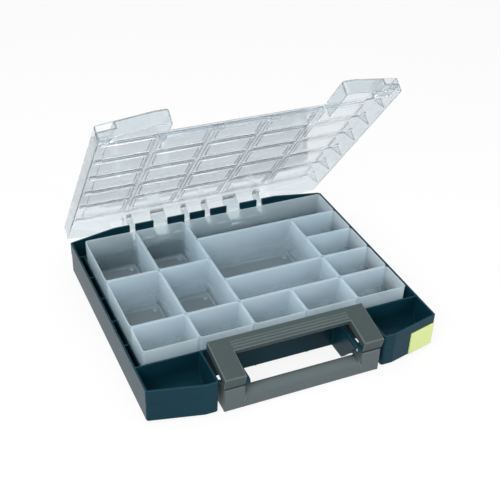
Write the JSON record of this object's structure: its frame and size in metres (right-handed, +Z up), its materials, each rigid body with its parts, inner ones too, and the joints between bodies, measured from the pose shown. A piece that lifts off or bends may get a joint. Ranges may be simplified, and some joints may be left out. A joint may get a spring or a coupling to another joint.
{
  "type": "assortment case",
  "caption": "Flat carrying case with a hinged clear lid, a latch frame over a front grip, and a grid of lift-out bins for small parts.",
  "frame": {"origin": "on the bench under the middle of the tray's footprint", "axes": "+Z up, +Y from the handle to the hinge, +X to the right as seen from the handle"},
  "size_m": [0.421, 0.4189, 0.3472],
  "materials": {
    "tray_plastic": "satin moulded",
    "clear_plastic": "clear moulded",
    "grey_plastic": "fine texture",
    "bin_plastic": "frosted",
    "lime_plastic": "smooth",
    "pin_steel": "drawn"
  },
  "bodies": {
    "case": {"tray": "tray_plastic", "handle_grip": "grey_plastic", "label_tab": "lime_plastic", "hinge_pin_left": "pin_steel", "hinge_pin_right": "pin_steel", "latch_pin_left": "pin_steel", "latch_pin_right": "pin_steel"},
    "lid": {"lid": "clear_plastic"},
    "latch": {"latch_frame": "grey_plastic"},
    "bin_left_front": {"bin_left_front": "bin_plastic"},
    "bin_left_middle": {"bin_left_middle": "bin_plastic"},
    "bin_left_rear": {"bin_left_rear": "bin_plastic"},
    "bin_second_front": {"bin_second_front": "bin_plastic"},
    "bin_second_middle": {"bin_second_middle": "bin_plastic"},
    "bin_second_rear": {"bin_second_rear": "bin_plastic"},
    "bin_third_front": {"bin_third_front": "bin_plastic"},
    "bin_fourth_front": {"bin_fourth_front": "bin_plastic"},
    "bin_wide_middle": {"bin_wide_middle": "bin_plastic"},
    "bin_large": {"bin_large": "bin_plastic"},
    "bin_long_rear": {"bin_long_rear": "bin_plastic"},
    "bin_right_front": {"bin_right_front": "bin_plastic"},
    "bin_right_second": {"bin_right_second": "bin_plastic"},
    "bin_right_third": {"bin_right_third": "bin_plastic"},
    "bin_right_fourth": {"bin_right_fourth": "bin_plastic"}
  },
  "joints": [
    {"name": "lid_hinge", "type": "hinge", "parent": "case", "child": "lid", "pos_m": [0, 0.1777, 0.0302], "axis": [-1, 0, 0], "range_deg": [-51.8, 53.2]},
    {"name": "latch_hinge", "type": "hinge", "parent": "case", "child": "latch", "pos_m": [0, -0.19125, 0.043], "axis": [1, 0, 0], "range_deg": [0, 85]},
    {"name": "bin_left_front_lift", "type": "slide", "parent": "case", "child": "bin_left_front", "axis": [0, 0, 1], "range_m": [0, 0.07]},
    {"name": "bin_left_middle_lift", "type": "slide", "parent": "case", "child": "bin_left_middle", "axis": [0, 0, 1], "range_m": [0, 0.07]},
    {"name": "bin_left_rear_lift", "type": "slide", "parent": "case", "child": "bin_left_rear", "axis": [0, 0, 1], "range_m": [0, 0.055]},
    {"name": "bin_second_front_lift", "type": "slide", "parent": "case", "child": "bin_second_front", "axis": [0, 0, 1], "range_m": [0, 0.07]},
    {"name": "bin_second_middle_lift", "type": "slide", "parent": "case", "child": "bin_second_middle", "axis": [0, 0, 1], "range_m": [0, 0.07]},
    {"name": "bin_second_rear_lift", "type": "slide", "parent": "case", "child": "bin_second_rear", "axis": [0, 0, 1], "range_m": [0, 0.055]},
    {"name": "bin_third_front_lift", "type": "slide", "parent": "case", "child": "bin_third_front", "axis": [0, 0, 1], "range_m": [0, 0.07]},
    {"name": "bin_fourth_front_lift", "type": "slide", "parent": "case", "child": "bin_fourth_front", "axis": [0, 0, 1], "range_m": [0, 0.07]},
    {"name": "bin_wide_middle_lift", "type": "slide", "parent": "case", "child": "bin_wide_middle", "axis": [0, 0, 1], "range_m": [0, 0.07]},
    {"name": "bin_large_lift", "type": "slide", "parent": "case", "child": "bin_large", "axis": [0, 0, 1], "range_m": [0, 0.07]},
    {"name": "bin_long_rear_lift", "type": "slide", "parent": "case", "child": "bin_long_rear", "axis": [0, 0, 1], "range_m": [0, 0.055]},
    {"name": "bin_right_front_lift", "type": "slide", "parent": "case", "child": "bin_right_front", "axis": [0, 0, 1], "range_m": [0, 0.07]},
    {"name": "bin_right_second_lift", "type": "slide", "parent": "case", "child": "bin_right_second", "axis": [0, 0, 1], "range_m": [0, 0.07]},
    {"name": "bin_right_third_lift", "type": "slide", "parent": "case", "child": "bin_right_third", "axis": [0, 0, 1], "range_m": [0, 0.07]},
    {"name": "bin_right_fourth_lift", "type": "slide", "parent": "case", "child": "bin_right_fourth", "axis": [0, 0, 1], "range_m": [0, 0.07]}
  ]
}
